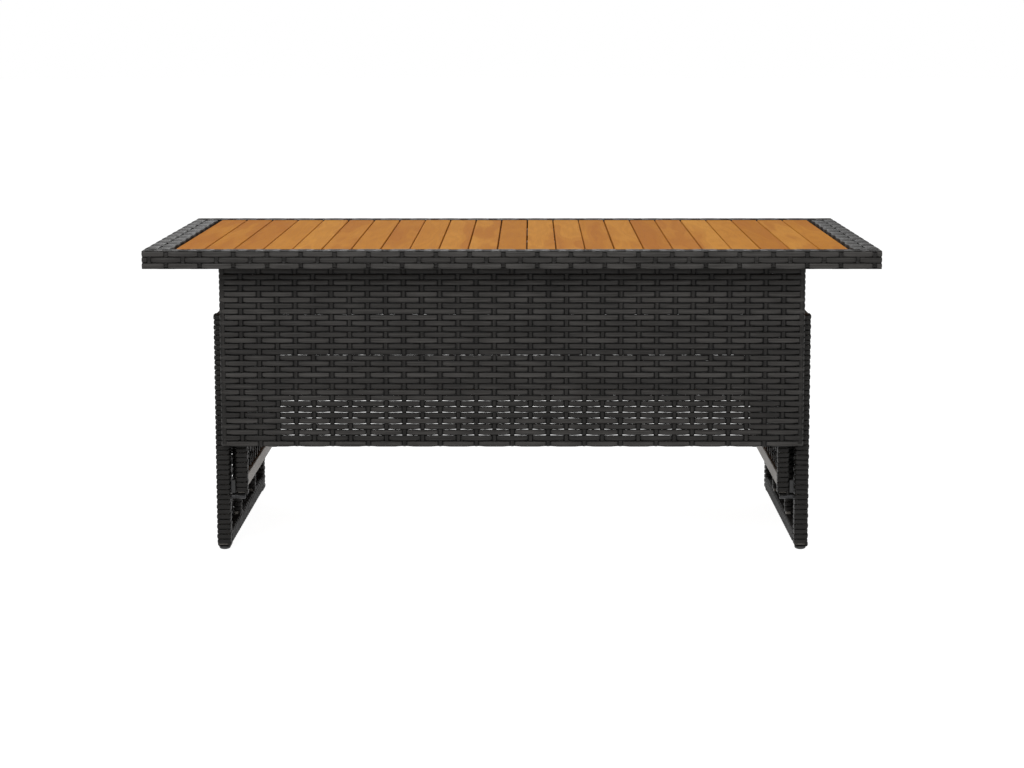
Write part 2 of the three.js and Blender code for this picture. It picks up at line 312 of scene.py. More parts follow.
def stations(low, high, first, pitch, shares):
    """Places along a strip from low to high. Those that it crosses stand a pitch apart from first
    on, and shares says where the places lie in each pitch."""
    start = int(math.floor((low - first) / pitch))
    stop = int(math.ceil((high - first) / pitch))
    places = (np.arange(start, stop + 1)[:, None] + np.array(shares)).ravel() * pitch + first
    inside = places[(places > low + MM) & (places < high - MM)]
    return np.concatenate([[low], inside, [high]])


def hooked_run(length, turn, sway, first, pitch, shares, far_hook=True):
    """A strip's course over a sheet of that length, as distance along and distance out of the
    sheet, with the normal of each point and how proud it is. sway gives the distance out. At a
    hooked end the strip turns round a bar of radius turn and comes back behind the sheet. The
    near end is always hooked, and far_hook says whether the other one is."""
    low = turn
    high = length - turn if far_hook else length
    along = stations(low, high, first, pitch, shares)
    fade = np.clip((along - low) / END_FADE, 0, 1)
    if far_hook:
        fade = fade * np.clip((high - along) / END_FADE, 0, 1)
    course = [np.stack([along, sway(along) * fade], axis=1)]
    normal = [np.tile((0.0, 1.0), (len(along), 1))]
    proud = [sway(along) / ROW_SWAY * fade + 1 - fade]
    angles = np.linspace(0, math.pi, TURN_STEPS + 1)[1:]
    around = np.stack([np.sin(angles), np.cos(angles)], axis=1)
    tail = np.array([(-TUCK, 0.0)])
    ends = [(low, -1), (high, 1)] if far_hook else [(low, -1)]
    for end, sign in ends:
        flip = np.array([sign, 1.0])
        arc = np.array([end, -turn]) + around * flip * turn
        back = arc[-1] + tail * flip
        piece = np.vstack([arc, back])
        normals = np.vstack([around * flip, [(0.0, -1.0)]])
        if sign > 0:
            course.append(piece)
            normal.append(normals)
            proud.append(np.ones(len(piece)))
        else:
            course.insert(0, piece[::-1])
            normal.insert(0, normals[::-1])
            proud.insert(0, np.ones(len(piece)))
    return np.vstack(course), np.vstack(normal), np.concatenate(proud)


def woven_sheet(strips, corner, along, outward, size, turn, head_hook=False):
    """A plain weave in the upright plane through corner. along runs the way the rows do and
    outward is the way the sheet faces. size is its length and height, and turn is the radius at
    its edges. The rows turn back at both ends and the stakes at their foot, and head_hook says
    whether the stakes turn back at their head too."""
    corner, along, outward = (np.asarray(v, float) for v in (corner, along, outward))
    length, height = size
    stakes = int((length - STAKE_WIDTH) / STAKE_PITCH) + 1
    rows = int(round(height / ROW_PITCH))
    first = (length - (stakes - 1) * STAKE_PITCH) / 2
    for row in range(rows):
        lean = -1 if row % 2 == 0 else 1
        course, normal, proud = hooked_run(
            length, turn,
            lambda u, s=lean: ROW_SWAY * dive((u - first) / STAKE_PITCH + (1 - s) / 2),
            first, STAKE_PITCH, ROW_STATIONS,
        )
        level = (row + 0.5) * ROW_PITCH + strips.stray(ROW_JITTER)
        drift = strips.stray(ROW_DRIFT)
        waves = strips.random.uniform(*DRIFT_WAVES)
        slow = np.sin(course[:, 0] / length * math.pi * waves) * drift
        path = corner + course[:, :1] * along + course[:, 1:] * outward
        path = path + (level + slow)[:, None] * UP
        facing = normal[:, :1] * along + normal[:, 1:] * outward
        slim = FULL_ROW_WIDTH
        if row < rows - SNUG_ROWS:
            slim = ROW_WIDTH * strips.random.uniform(*SLIM_SHARES)
        fullness = np.clip((proud - SLIM_BELOW) / (1 - SLIM_BELOW), 0, 1)
        width = slim + (FULL_ROW_WIDTH - slim) * fullness
        strips.add(path, facing, width, ROW_THICKNESS, proud)
    for stake in range(stakes):
        place = first + stake * STAKE_PITCH + strips.stray(STAKE_JITTER)
        lean = 1 if stake % 2 == 0 else -1
        course, normal, _ = hooked_run(
            height, turn,
            lambda v, s=lean: s * STAKE_SWAY * np.cos(np.pi * (v / ROW_PITCH - 0.5)),
            ROW_PITCH / 2, ROW_PITCH, STAKE_STATIONS, head_hook,
        )
        path = corner + place * along + course[:, :1] * UP + course[:, 1:] * outward
        facing = normal[:, :1] * UP + normal[:, 1:] * outward
        strips.add(path, facing, STAKE_WIDTH, STAKE_THICKNESS, tone=STAKE_SHADE_TONE)


# ---------------------------------------------------------------- wound posts and rails


def rounded_section(width, height, radius):
    """Points and normals round a rectangle with rounded corners, and each point's share of the
    way round, starting at the foot of its +width side."""
    x, y = width / 2 - radius, height / 2 - radius
    points, normals = [], []
    for turn, (cx, cy) in enumerate(((x, -y), (x, y), (-x, y), (-x, -y))):
        start = -math.pi / 2 + turn * math.pi / 2
        for step in range(CORNER_STEPS + 1):
            angle = start + step / CORNER_STEPS * math.pi / 2
            normal = (math.cos(angle), math.sin(angle))
            normals.append(normal)
            points.append((cx + radius * normal[0], cy + radius * normal[1]))
    points, normals = np.array(points), np.array(normals)
    gaps = np.linalg.norm(np.roll(points, -1, axis=0) - points, axis=1)
    share = np.concatenate([[0], np.cumsum(gaps)[:-1]]) / gaps.sum()
    return points, normals, share


def winding(strips, low, high, axis):
    """One strip wound in touching turns round a bar between two corners, along one axis. It
    climbs on the sides that face along the first other axis and runs level on the other two."""
    low, high = np.asarray(low, float), np.asarray(high, float)
    a, b = [i for i in range(3) if i != axis]
    middle = (low + high) / 2
    skin = WINDING_THICKNESS / 2 + WINDING_SWELL
    size = high - low - 2 * skin
    points, normals, share = rounded_section(size[a], size[b], WINDING_CORNER)
    length = high[axis] - low[axis]
    turns = int(math.ceil(length / WINDING_PITCH)) + 1
    count = turns * len(points)
    turn = np.repeat(np.arange(turns), len(points)) + np.tile(share, turns)
    swell = WINDING_SWELL * np.cos(math.pi * turn)
    rise = np.floor(turn) + np.interp(turn % 1, CLIMB_AT, CLIMB)
    path = np.zeros((count, 3))
    facing = np.zeros((count, 3))
    facing[:, a] = np.tile(normals[:, 0], turns)
    facing[:, b] = np.tile(normals[:, 1], turns)
    path[:, a] = middle[a] + np.tile(points[:, 0], turns) + swell * facing[:, a]
    path[:, b] = middle[b] + np.tile(points[:, 1], turns) + swell * facing[:, b]
    edge = WINDING_WIDTH / 2
    travel = np.clip(rise * WINDING_PITCH, edge, length - edge)
    path[:, axis] = low[axis] + travel
    strips.add(path, facing, WINDING_WIDTH, WINDING_THICKNESS, tone=WINDING_SHADE_TONE)


def post_cap(strips, low, high, level, sign):
    """Short strips side by side that close the end of a wound post. Each one is bent down into
    the post at both ends. sign is 1 at a post's head and -1 at its foot."""
    reach = (high[0] - low[0]) / 2 - CAP_INSET
    centre = (low[0] + high[0]) / 2
    width = (high[1] - low[1] - 2 * CAP_INSET) / CAP_STRIPS
    top = level - sign * WINDING_THICKNESS / 2
    outline = [
        (-reach, -CAP_DEPTH), (-reach, -CAP_BEND), (-reach + CAP_BEND, 0), (0, 0),
        (reach - CAP_BEND, 0), (reach, -CAP_BEND), (reach, -CAP_DEPTH),
    ]
    facing = [(-1, 0, 0)] * 2 + [(0, 0, sign)] * 3 + [(1, 0, 0)] * 2
    for i in range(CAP_STRIPS):
        y = low[1] + CAP_INSET + (i + 0.5) * width
        path = [(centre + x, y, top + sign * z) for x, z in outline]
        strips.add(path, facing, width * CAP_FILL, WINDING_THICKNESS, tone=WINDING_SHADE_TONE)


# ---------------------------------------------------------------- woven border


def border_rows(width, height, across):
    """The rows round a border's section, in order: where each one lies, the way it faces,
    whether it starts over or under, and its room. BORDER_SIDE_ROWS lie on each upright side, and
    across rows on the top and on the underside."""
    rise = (height + BORDER_LAP) / BORDER_SIDE_ROWS
    step = (width + BORDER_LAP) / across
    uprights = [(i - (BORDER_SIDE_ROWS - 1) / 2) * rise for i in range(BORDER_SIDE_ROWS)]
    flats = [(i - (across - 1) / 2) * step for i in range(across)]
    rows = []
    parity = 0
    for offset in uprights:
        rows.append(((width / 2, offset), (1, 0), parity % 2, rise))
        parity += 1
    for i, offset in enumerate(reversed(flats)):
        rows.append(((offset, height / 2), (0, 1), (parity + i) % 2, step))
    parity += across
    for offset in reversed(uprights):
        rows.append(((-width / 2, offset), (-1, 0), parity % 2, rise))
        parity += 1
    for i, offset in enumerate(flats):
        rows.append(((offset, -height / 2), (0, -1), (parity + i) % 2, step))
    return rows


def woven_border(strips, low, high, outward, across, power, corners):
    """A length of border round a tube between two corners. outward is the way its outer side
    faces, and across how many rows lie on its top. power says how close to a loop the rows dive.
    corners says that the outer rows turn round the tabletop's corners."""
    low, high = np.asarray(low, float), np.asarray(high, float)
    outward = np.asarray(outward, float)
    along = np.abs(np.cross(outward, UP))
    middle = (low + high) / 2
    length = float(np.dot(high - low, along))
    depth = float(np.dot(high - low, np.abs(outward)))
    height = high[2] - low[2]
    width, tall = depth - 2 * SHEET_HALF, height - 2 * SHEET_HALF
    loops = int(round(length / BORDER_PITCH))
    pitch = length / loops
    rows = border_rows(width, tall, across)
    half = length / 2 - SHEET_HALF
    for (a, b), (na, nb), parity, space in rows:
        lean = 1 if parity == 0 else -1
        facing = na * outward + nb * UP
        u = stations(-half, half, (0.5 - loops / 2) * pitch, pitch, ROW_STATIONS)
        sway = ROW_SWAY * dive((u + length / 2) / pitch - 0.5 + (1 - lean) / 2, power)
        place = middle + a * outward + b * UP
        path = place + u[:, None] * along + sway[:, None] * facing
        normals = np.tile(facing, (len(u), 1))
        proud = sway / ROW_SWAY
        if na > 0 and corners:
            path, normals, proud = with_corner_turns(path, normals, proud, along, outward, depth)
        row_width = space * BORDER_FILL * strips.random.uniform(*BORDER_SHARES)
        strips.add(path, normals, row_width, ROW_THICKNESS, proud)
    add_loops(strips, rows, middle, along, outward, (width, tall), length, loops)


def with_corner_turns(path, normals, proud, along, outward, depth):
    """An outer row carried round both corners of the tabletop and back along its ends."""
    radius = BORDER_CORNER
    reach = depth - SHEET_HALF - radius
    angles = np.linspace(0, math.pi / 2, CORNER_TURN_STEPS)
    ends = []
    for sign, index in ((-1, 0), (1, -1)):
        centre = path[index] - sign * radius * along - radius * outward
        faces = [math.sin(t) * sign * along + math.cos(t) * outward for t in angles]
        arc = [centre + radius * face for face in faces]
        corner = arc[-1]
        for share in CORNER_RUN_SHARES:
            arc.append(corner - share * reach * outward)
            faces.append(sign * along)
        ends.append((np.array(arc), np.array(faces)))
    # The row's own points stop a little before the arcs begin
    distance = np.abs((path - path.mean(axis=0)) @ along)
    inner = distance < distance[0] - radius * 1.2
    (low_arc, low_faces), (high_arc, high_faces) = ends
    path = np.vstack([low_arc[::-1], path[inner], high_arc])
    normals = np.vstack([low_faces[::-1], normals[inner], high_faces])
    proud = np.concatenate([np.ones(len(low_arc)), proud[inner], np.ones(len(high_arc))])
    return path, normals, proud


def add_loops(strips, rows, middle, along, outward, section, length, loops):
    """The stakes of a border: closed loops round its section, over and under its rows."""
    width, tall = section
    r = BORDER_CORNER
    pitch = length / loops
    sides = (
        ((1, 0), (width / 2 - r, tall / 2 - r)),
        ((0, 1), (-width / 2 + r, tall / 2 - r)),
        ((-1, 0), (-width / 2 + r, -tall / 2 + r)),
        ((0, -1), (width / 2 - r, -tall / 2 + r)),
    )
    outline = []
    for turn, (face, (corner_a, corner_b)) in enumerate(sides):
        room_a = width / 2 - (0 if face[0] else r)
        room_b = tall / 2 - (0 if face[1] else r)
        for (a, b), normal, parity, _ in rows:
            if normal != face:
                continue
            a = min(max(a, -room_a), room_a)
            b = min(max(b, -room_b), room_b)
            outline.append((a, b, *normal, 1 if parity == 0 else -1))
        for t in (0.25, 0.5, 0.75):
            angle = turn * math.pi / 2 + t * math.pi / 2
            na, nb = math.cos(angle), math.sin(angle)
            outline.append((corner_a + r * na, corner_b + r * nb, na, nb, 0))
    # The loop laps over its own start
    outline = np.array(outline + outline[:2])
    for loop in range(loops):
        lean = -1 if loop % 2 == 0 else 1
        u = -length / 2 + (loop + 0.5) * pitch + strips.stray(LOOP_JITTER)
        sway = lean * STAKE_SWAY * outline[:, 4]
        facing = outline[:, 2:3] * outward + outline[:, 3:4] * UP
        path = middle + u * along + outline[:, :1] * outward + outline[:, 1:2] * UP
        path = path + sway[:, None] * facing
        strips.add(path, facing, STAKE_WIDTH, STAKE_THICKNESS, tone=STAKE_SHADE_TONE)


# ---------------------------------------------------------------- solid pieces


def mesh_object(name, bm, smooth_below=None):
    """A bmesh as an object. Faces smaller than smooth_below, in square metres, are smooth."""
    bmesh.ops.recalc_face_normals(bm, faces=bm.faces)
    for face in bm.faces:
        face.smooth = smooth_below is None or face.calc_area() < smooth_below
    mesh = bpy.data.meshes.new(name)
    bm.to_mesh(mesh)
    bm.free()
    obj = bpy.data.objects.new(name, mesh)
    bpy.context.scene.collection.objects.link(obj)
    return obj


def add_block(bm, low, high, bevel, segments=3):
    """A block between two corners with all its edges rounded."""
    corners = [[(low, high)[(i >> axis) & 1][axis] for axis in range(3)] for i in range(8)]
    verts = [bm.verts.new(c) for c in corners]
    loops = ((0, 2, 3, 1), (4, 5, 7, 6), (0, 1, 5, 4), (2, 6, 7, 3), (0, 4, 6, 2), (1, 3, 7, 5))
    faces = [bm.faces.new([verts[i] for i in loop]) for loop in loops]
    edges = {edge for face in faces for edge in face.edges}
    bmesh.ops.bevel(
        bm, geom=list(edges), offset=bevel, segments=segments, profile=0.5, affect="EDGES"
    )


def add_lathe(bm, profile, origin, axis, steps=32):
    """A turned shape: profile holds radius and distance along axis, from axis to axis."""
    axis = Vector(axis).normalized()
    side = axis.orthogonal().normalized()
    other = axis.cross(side)
    origin = Vector(origin)
    rings = []
    for radius, along in profile:
        if radius == 0:
            rings.append([bm.verts.new(origin + axis * along)])
            continue
        ring = []
        for i in range(steps):
            angle = 2 * math.pi * i / steps
            out = side * math.cos(angle) + other * math.sin(angle)
            ring.append(bm.verts.new(origin + axis * along + out * radius))
        rings.append(ring)
    for near, far in zip(rings, rings[1:]):
        for i in range(steps):
            j = (i + 1) % steps
            corners = [near[i % len(near)], near[j % len(near)], far[j % len(far)], far[i % len(far)]]
            unique = list(dict.fromkeys(corners))
            if len(unique) > 2:
                bm.faces.new(unique)


# ---------------------------------------------------------------- materials


# Sockets of a Mix node that mixes colours
MIX_FACTOR, MIX_A, MIX_B, MIX_RESULT = 0, 6, 7, 2


class Nodes:
    """A material's node tree, with short calls for the nodes used here."""

    def __init__(self, name):
        self.material = bpy.data.materials.new(name)
        self.material.use_nodes = True
        self.tree = self.material.node_tree
        self.shader = self.tree.nodes["Principled BSDF"]

    def add(self, kind, inputs=None, **settings):
        node = self.tree.nodes.new(kind)
        for key, value in settings.items():
            setattr(node, key, value)
        for key, value in (inputs or {}).items():
            if isinstance(value, bpy.types.NodeSocket):
                self.tree.links.new(value, node.inputs[key])
            else:
                node.inputs[key].default_value = value
        return node

    def link(self, socket, name):
        self.tree.links.new(socket, self.shader.inputs[name])

    def set(self, **values):
        for name, value in values.items():
            self.shader.inputs[name.replace("_", " ")].default_value = value

    def math(self, operation, a, b=0.5):
        return self.add("ShaderNodeMath", {0: a, 1: b}, operation=operation).outputs[0]

    def noise(self, vector, scale, detail=3.0, roughness=0.55, stretch=None):
        if stretch:
            vector = self.add("ShaderNodeMapping", {"Vector": vector, "Scale": stretch}).outputs[0]
        inputs = {"Vector": vector, "Scale": scale, "Detail": detail, "Roughness": roughness}
        return self.add("ShaderNodeTexNoise", inputs).outputs["Fac"]

    def range(self, value, start, end):
        """value eased from between the two start values to between the two end values."""
        names = ("From Min", "From Max", "To Min", "To Max")
        inputs = {"Value": value, **dict(zip(names, (*start, *end)))}
        node = self.add("ShaderNodeMapRange", inputs, interpolation_type="SMOOTHSTEP")
        return node.outputs["Result"]

    def ramp(self, factor, stops):
        node = self.add("ShaderNodeValToRGB", {"Fac": factor})
        elements = node.color_ramp.elements
        while len(elements) < len(stops):
            elements.new(0.5)
        for element, (position, colour) in zip(elements, stops):
            element.position = position
            element.color = (*colour, 1)
        return node.outputs["Color"]

    def mix(self, factor, a, b):
        """Colour a turned into colour b by factor. Both are sockets or red, green and blue."""
        colours = [
            value if isinstance(value, bpy.types.NodeSocket) else (*value, 1) for value in (a, b)
        ]
        inputs = {MIX_FACTOR: factor, MIX_A: colours[0], MIX_B: colours[1]}
        return self.add("ShaderNodeMix", inputs, data_type="RGBA").outputs[MIX_RESULT]

    def bump(self, height, strength, distance):
        inputs = {"Height": height, "Strength": strength, "Distance": distance}
        return self.add("ShaderNodeBump", inputs).outputs["Normal"]

    def position(self):
        return self.add("ShaderNodeTexCoord").outputs["Object"]


# Colours as red, green and blue. A list of tones gives each colour's place on a ramp.
# Painted shade: the near black that the wicker's colour turns to at its strip edges and where a strip
# dives under another
WICKER_PAINTED_SHADE = (0.0008, 0.0007, 0.0007)
WICKER_TONES = [
    (0.0, (0.0090, 0.0083, 0.0077)),
    (0.5, (0.0235, 0.0219, 0.0204)),
    (1.0, (0.0520, 0.0490, 0.0462)),
]
SAPWOOD_TONES = [
    (0.15, (0.47, 0.180, 0.022)),
    (0.5, (0.54, 0.222, 0.030)),
    (0.85, (0.62, 0.280, 0.046)),
]
HEARTWOOD = (0.43, 0.148, 0.022)
RING_WOOD = (0.36, 0.12, 0.02)
FIBRE_WOOD = (0.34, 0.115, 0.02)
PORE_WOOD = (0.20, 0.07, 0.02)
BLACK, WHITE = (0, 0, 0), (1, 1, 1)

# Ribs along a strip, as radians of their wave from its middle to its edge
RIB_WAVE = 15.0


def wicker_material():
    """Charcoal synthetic strip: fine ribs along it, a tone of its own, and painted shade, near black,
    at its edges where it meets the next strip and where it dives under another strip."""
    n = Nodes("wicker")
    strip = n.add("ShaderNodeAttribute", attribute_name="strip").outputs["Vector"]
    parts = n.add("ShaderNodeSeparateXYZ", {0: strip})
    along, across, tone = parts.outputs
    proud = n.add("ShaderNodeAttribute", attribute_name="proud").outputs["Fac"]
    place = n.position()
    ribs = n.math("SINE", n.math("MULTIPLY", across, RIB_WAVE))
    grain = n.noise(place, scale=900.0, detail=2.0)
    apart = n.math("MULTIPLY", tone, 40.0)
    streak_at = n.add("ShaderNodeCombineXYZ", {0: along, 1: across, 2: apart}).outputs[0]
    streak = n.noise(streak_at, scale=1.0, stretch=(22.0, 2.6, 1.0))
    patch = n.noise(place, scale=24.0, detail=2.0)
    shade = n.math("ADD", n.math("MULTIPLY", tone, 0.5), n.math("MULTIPLY", streak, 1.1))
    shade = n.math("ADD", shade, n.math("MULTIPLY", patch, 0.6))
    colour = n.ramp(n.math("SUBTRACT", shade, 0.60), WICKER_TONES)
    # Painted shade: middle darkens the colour towards a strip's edges and surface where the strip
    # dives under another; together they mix in the near-black shade
    middle = n.range(n.math("ABSOLUTE", across), start=(0.60, 0.97), end=(1.0, 0.10))
    surface = n.range(proud, start=(-0.55, -0.05), end=(0.12, 1.0))
    clear_of_painted_shade = n.math("MULTIPLY", middle, surface)
    n.link(n.mix(clear_of_painted_shade, WICKER_PAINTED_SHADE, colour), "Base Color")
    rough = n.math("ADD", n.math("MULTIPLY", streak, 0.25), 0.36)
    n.link(n.math("ADD", rough, n.math("MULTIPLY", grain, 0.08)), "Roughness")
    height = n.math("ADD", n.math("MULTIPLY", ribs, 0.5), n.math("MULTIPLY", grain, 0.35))
    n.link(n.bump(height, strength=0.35, distance=0.12 * MM), "Normal")
    n.set(Specular_IOR_Level=0.16)
    return n.material


def acacia_material():
    """Oiled acacia: honey sapwood with red-brown heartwood, growth rings, long grain and pores."""
    n = Nodes("acacia")
    board = n.add("ShaderNodeAttribute", attribute_name="board").outputs["Vector"]
    parts = n.add("ShaderNodeSeparateXYZ", {0: board})
    pick, tone, heart = parts.outputs
    place = n.position()
    shift = n.add("ShaderNodeCombineXYZ", {
        0: n.math("MULTIPLY", pick, 3.0), 1: n.math("MULTIPLY", tone, 11.0), 2: 0.0,
    }).outputs[0]
    at = n.add("ShaderNodeVectorMath", {0: place, 1: shift}, operation="ADD").outputs[0]
    broad = n.noise(at, scale=1.0, detail=2.5, roughness=0.5, stretch=(26.0, 3.2, 8.0))
    warp = n.noise(at, scale=1.0, detail=2.0, roughness=0.5, stretch=(20.0, 6.0, 6.0))
    rings_at = n.math("ADD", n.math("MULTIPLY", broad, 9.0), n.math("MULTIPLY", warp, 1.5))
    rings = n.math("SINE", n.math("MULTIPLY", rings_at, 6.0))
    fibre = n.noise(at, scale=1.0, detail=4.0, roughness=0.6, stretch=(520.0, 14.0, 40.0))
    pores = n.noise(at, scale=1.0, detail=2.0, roughness=0.6, stretch=(1100.0, 60.0, 100.0))
    heart_edge = n.math("ADD", broad, n.math("MULTIPLY", n.math("SUBTRACT", heart, 0.5), 0.42))
    heartwood = n.ramp(heart_edge, [(0.50, BLACK), (0.66, WHITE)])
    sap_shade = n.math("ADD", n.math("MULTIPLY", tone, 0.6), n.math("MULTIPLY", warp, 0.4))
    sap = n.ramp(sap_shade, SAPWOOD_TONES)
    colour = n.mix(n.math("MULTIPLY", heartwood, 0.68), sap, HEARTWOOD)
    ring_share = n.math("MULTIPLY", n.math("ADD", rings, 1.0), 0.09)
    colour = n.mix(ring_share, colour, RING_WOOD)
    grain = n.ramp(fibre, [(0.35, WHITE), (0.62, BLACK)])
    colour = n.mix(n.math("MULTIPLY", grain, 0.16), colour, FIBRE_WOOD)
    holes = n.ramp(pores, [(0.28, WHITE), (0.36, BLACK)])
    colour = n.mix(n.math("MULTIPLY", holes, 0.4), colour, PORE_WOOD)
    n.link(colour, "Base Color")
    rough = n.math("ADD", n.math("MULTIPLY", fibre, 0.2), 0.68)
    n.link(rough, "Roughness")
    height = n.math("SUBTRACT", n.math("MULTIPLY", fibre, 0.6), n.math("MULTIPLY", holes, 0.5))
    n.link(n.bump(height, strength=0.25, distance=0.3 * MM), "Normal")
    n.set(Specular_IOR_Level=0.02)
    return n.material


def coated_material(name, dark, light, roughness, grain_scale, depth, metallic=0.0):
    """A coated or moulded surface: an even colour broken by fine texture and slow variation."""
    n = Nodes(name)
    place = n.position()
    fine = n.noise(place, grain_scale, roughness=0.6)
    slow = n.noise(place, scale=14.0)
    shade = n.math("ADD", n.math("MULTIPLY", fine, 0.4), n.math("MULTIPLY", slow, 0.6))
    n.link(n.ramp(shade, [(0.3, dark), (0.7, light)]), "Base Color")
    rough = n.math("ADD", n.math("MULTIPLY", slow, 0.18), roughness - 0.09)
    n.link(n.math("ADD", rough, n.math("MULTIPLY", fine, 0.06)), "Roughness")
    n.link(n.bump(fine, strength=0.3, distance=depth), "Normal")
    n.set(Metallic=metallic)
    return n.material


MATERIALS = {
    "wicker": wicker_material(),
    "acacia": acacia_material(),
    "steel": coated_material(
        "steel", dark=(0.13, 0.12, 0.105), light=(0.17, 0.155, 0.138),
        roughness=0.5, grain_scale=1600.0, depth=0.1 * MM,
    ),
    "plastic": coated_material(
        "plastic", dark=(0.009, 0.009, 0.009), light=(0.016, 0.016, 0.016),
        roughness=0.55, grain_scale=2200.0, depth=0.08 * MM,
    ),
    "zinc": coated_material(
        "zinc", dark=(0.016, 0.016, 0.017), light=(0.03, 0.03, 0.031),
        roughness=0.45, grain_scale=900.0, depth=0.04 * MM, metallic=0.4,
    ),
}


# ---------------------------------------------------------------- the table's pieces


def make_skirts():
    """The woven front and back skirts, hooked round the steel bar inside each."""
    for name, face in FACES.items():
        node = f"skirt_{name}"
        low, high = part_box(node)
        outer = high.y if face > 0 else low.y
        turn = (high.y - low.y - 2 * SHEET_HALF) / 2
        strips = Strips(node, SKIRT_EDGE_SHADE)
        corner = (low.x + ROW_THICKNESS / 2, outer - face * SHEET_HALF, low.z)
        size = (high.x - low.x - ROW_THICKNESS, high.z - low.z)
        woven_sheet(strips, corner, (1, 0, 0), (0, face, 0), size, turn)
        stand_for(strips.build(f"{node}_weave"), node, "wicker")


def make_end_panels():
    """The woven sheet in each end frame, and the two wound stiles behind it."""
    for name, side in SIDES.items():
        node = f"end_panel_{name}"
        low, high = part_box(node)
        outer = high.x if side > 0 else low.x
        strips = Strips(node)
        turn = PANEL_DEPTH / 2 - SHEET_HALF
        corner = (outer - side * SHEET_HALF, low.y, low.z)
        size = (high.y - low.y, high.z - low.z)
        woven_sheet(strips, corner, (0, 1, 0), (side, 0, 0), size, turn, head_hook=True)
        inner = low.x if side > 0 else high.x
        x = sorted((inner, inner + side * STILE_SECTION))
        for face in FACES.values():
            y = sorted((face * STILE_OFFSET, face * (STILE_OFFSET + STILE_SECTION)))
            winding(strips, (x[0], y[0], low.z), (x[1], y[1], high.z), AXIS_Z)
        stand_for(strips.build(f"{node}_weave"), node, "wicker")


def make_side_panels():
    """The upper unit's side panels: a woven sheet over the rail, and the wound inner posts."""
    for name, side in SIDES.items():
        node = f"side_panel_{name}"
        low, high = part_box(node)
        strips = Strips(node)
        post = high.x - low.x
        inner = high.y - post
        rail_top = RAIL_LOW + RAIL_SECTION[1] + PANEL_GAP
        middle = (low.x + high.x) / 2
        corner = (middle + side * SHEET_HALF, -inner, rail_top)
        size = (2 * inner, high.z - rail_top)
        woven_sheet(strips, corner, (0, 1, 0), (side, 0, 0), size, SHEET_HALF)
        for face in FACES.values():
            y = sorted((face * high.y, face * inner))
            winding(strips, (low.x, y[0], low.z), (high.x, y[1], high.z), AXIS_Z)
            post_cap(strips, (low.x, y[0]), (high.x, y[1]), low.z, -1)
        stand_for(strips.build(f"{node}_weave"), node, "wicker")


def make_windings():
    """The strips wound round the end frames' posts and rails, and the posts' caps."""
    for name in SIDES:
        for face in FACES:
            node = f"post_winding_{face}_{name}"
            low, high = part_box(node)
            strips = Strips(node)
            winding(strips, low, high, AXIS_Z)
            post_cap(strips, low, high, high.z, 1)
            post_cap(strips, low, high, low.z, -1)
            stand_for(strips.build(f"{node}_strip"), node, "wicker")
        for rail in ("top", "bottom"):
            node = f"{rail}_rail_winding_{name}"
            low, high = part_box(node)
            strips = Strips(node)
            winding(strips, low, high, AXIS_Y)
            stand_for(strips.build(f"{node}_strip"), node, "wicker")


def make_borders():
    """Four lengths of border. The front and back ones run the table's whole length and turn
    round its corners, and the two others lie between them."""
    lengths = [
        (name, (0, face, 0), {"across": 3, "power": SHARP_DIVE, "corners": True})
        for name, face in FACES.items()
    ]
    lengths += [
        (name, (side, 0, 0), {"across": 2, "power": SOFT_DIVE, "corners": False})
        for name, side in SIDES.items()
    ]
    for name, outward, weave in lengths:
        node = f"border_{name}"
        low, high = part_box(node)
        strips = Strips(node, BORDER_EDGE_SHADE)
        woven_border(strips, low, high, outward, **weave)
        stand_for(strips.build(f"{node}_weave"), node, "wicker")


def make_slats():
    """The acacia boards, each a little out of line and with its own place in the grain."""
    count = sum(1 for node in BODY_OF if node.startswith("slat_"))
    draw = random.Random("slats")
    for i in range(1, count + 1):
        node = f"slat_{i:02d}"
        low, high = (Vector(corner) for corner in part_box(node))
        rise = draw.uniform(*SLAT_SINK)
        skew = draw.uniform(-SLAT_SKEW, SLAT_SKEW)
        low.x += skew
        high.x += skew
        high.z += rise
        bm = bmesh.new()
        add_block(bm, low, high, SLAT_BEVEL, 4)
        obj = mesh_object(f"{node}_board", bm, SLAT_EDGE_FACE)
        board = obj.data.attributes.new("board", "FLOAT_VECTOR", "POINT")
        values = (draw.random(), draw.random(), draw.random())
        for item in board.data:
            item.vector = values
        stand_for(obj, node, "acacia")


def make_inner_frames():
    """Two square posts and the bare rail between them, with rounded edges."""
    for name, side in SIDES.items():
        node = f"inner_frame_{name}"
        low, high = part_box(node)
        sleeve_low, sleeve_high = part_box(f"side_panel_{name}")
        post_x = (sleeve_low.x + WRAP, sleeve_high.x - WRAP)
        post_y = (high.y - (post_x[1] - post_x[0]), high.y)
        outer = high.x if side > 0 else low.x
        rail_x = sorted((outer, outer - side * RAIL_SECTION[0]))
        rail_y = post_y[0] + RAIL_BITE
        rail_z = (RAIL_LOW, RAIL_LOW + RAIL_SECTION[1])
        bm = bmesh.new()
        rail_start = (rail_x[0], -rail_y, rail_z[0])
        rail_end = (rail_x[1], rail_y, rail_z[1])
        add_block(bm, rail_start, rail_end, RAIL_BEVEL, 4)
        for face in FACES.values():
            y = sorted((face * post_y[0], face * post_y[1]))
            add_block(bm, (post_x[0], y[0], low.z), (post_x[1], y[1], high.z), POST_BEVEL)
        stand_for(mesh_object(f"{node}_tube", bm, FRAME_EDGE_FACE), node, "steel")


